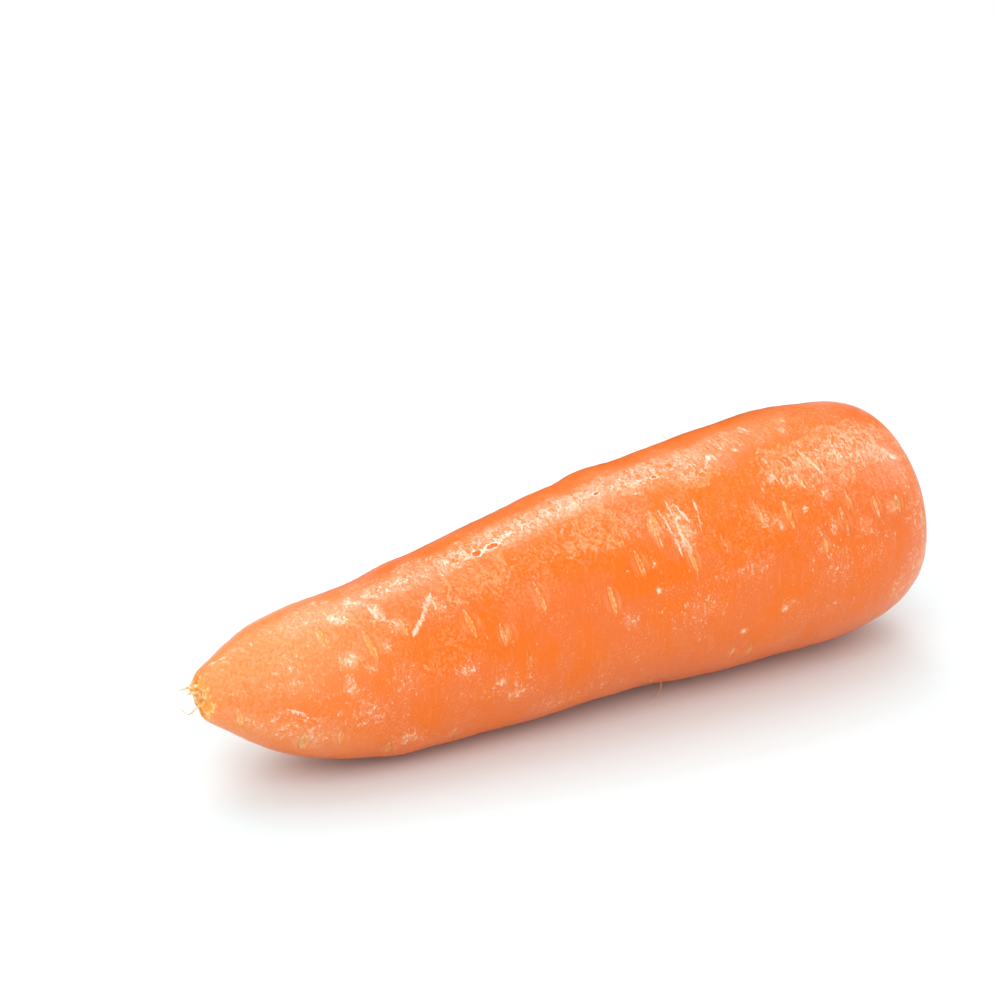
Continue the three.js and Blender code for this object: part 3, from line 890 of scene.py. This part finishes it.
class CARROT_OT_stage(bpy.types.Operator):
    """Lays the surface and sets the soft lights and the camera"""

    bl_idname = "carrot.stage"
    bl_label = "Stage"

    def execute(self, context):
        scene = context.scene
        stage = scene.carrot_stage
        material = make_floor(stage.floor)
        reach, start, (left, right) = FLOOR_REACH, UNMIRRORED_FROM, UNMIRRORED_SIDES
        shift = (reach - start) * math.tan(stage.azimuth)
        strip = [(left, start, 0), (right, start, 0), (right + shift, reach, 0), (left + shift, reach, 0)]
        outer = [(-reach, -reach, 0), (reach, -reach, 0), (reach, reach, 0),
                 strip[2], strip[1], strip[0], strip[3], (-reach, reach, 0)]
        for name, corners, mirrored in (("surface", outer, True), ("surface_behind", strip, False)):
            floor = add_mesh(name, corners, [tuple(range(len(corners)))])
            floor.data.materials.append(material)
            floor.visible_glossy = mirrored
        for name, place, size, lights in LIGHTS:
            add_area_light(name + " light", place, size, getattr(stage, name), lights)
        add_world(stage.fill, stage.sky)
        add_camera(stage)
        scene.view_settings.view_transform = "Standard"
        return {"FINISHED"}


def add_area_light(name, place, size, power, lights):
    """An unseen panel aimed at the origin, which lights only "diffuse" or only "glossy" surfaces."""
    data = bpy.data.lights.new(name, "AREA")
    data.shape = "RECTANGLE"
    data.size, data.size_y = size
    data.energy = power
    light = bpy.data.objects.new(name, data)
    light.location = place
    light.rotation_euler = (-Vector(place)).to_track_quat("-Z", "Y").to_euler()
    light.visible_camera = False
    light.visible_diffuse = lights == "diffuse"
    light.visible_glossy = lights == "glossy"
    bpy.context.scene.collection.objects.link(light)


def add_world(strength, colour):
    world = bpy.data.worlds.new("white surroundings")
    world.use_nodes = True
    background = world.node_tree.nodes["Background"]
    background.inputs["Color"].default_value = (*colour, 1)
    background.inputs["Strength"].default_value = strength
    world.cycles_visibility.glossy = False
    bpy.context.scene.world = world


def add_camera(stage):
    level = math.cos(stage.elevation)
    ahead = Vector((math.sin(stage.azimuth) * level, math.cos(stage.azimuth) * level,
                    -math.sin(stage.elevation)))
    data = bpy.data.cameras.new("camera")
    data.lens = stage.lens
    data.sensor_width = 36.0
    data.clip_end = 20.0
    camera = bpy.data.objects.new("camera", data)
    camera.location = Vector(stage.aim) - ahead * stage.distance
    camera.rotation_euler = ahead.to_track_quat("-Z", "Y").to_euler()
    bpy.context.scene.collection.objects.link(camera)
    bpy.context.scene.camera = camera


class CARROT_PT_panel(bpy.types.Panel):
    """Lists the operators and what they read"""

    bl_idname = "CARROT_PT_panel"
    bl_label = "Carrot"
    bl_space_type = "VIEW_3D"
    bl_region_type = "UI"
    bl_category = "Carrot"

    def draw(self, context):
        for operator in OPERATORS:
            self.layout.operator(operator.bl_idname)
        for name in GROUPS:
            group = getattr(context.scene, name)
            for prop in group.bl_rna.properties:
                if prop.identifier not in {"rna_type", "name"}:
                    self.layout.prop(group, prop.identifier)


GROUPS = {
    "carrot_shape": CarrotShape,
    "carrot_colours": CarrotColours,
    "carrot_finish": CarrotFinish,
    "carrot_stage": CarrotStage,
}
OPERATORS = (CARROT_OT_stage, CARROT_OT_root, CARROT_OT_threads)


def register():
    for name, group in GROUPS.items():
        bpy.utils.register_class(group)
        setattr(bpy.types.Scene, name, PointerProperty(type=group))
    for operator in OPERATORS:
        bpy.utils.register_class(operator)
    bpy.utils.register_class(CARROT_PT_panel)


def unregister():
    bpy.utils.unregister_class(CARROT_PT_panel)
    for operator in reversed(OPERATORS):
        bpy.utils.unregister_class(operator)
    for name, group in GROUPS.items():
        delattr(bpy.types.Scene, name)
        bpy.utils.unregister_class(group)


def main():
    register()
    bpy.ops.carrot.stage()
    bpy.ops.carrot.root()
    bpy.ops.carrot.threads()
    bpy.context.view_layer.update()


if __name__ == "__main__":
    main()
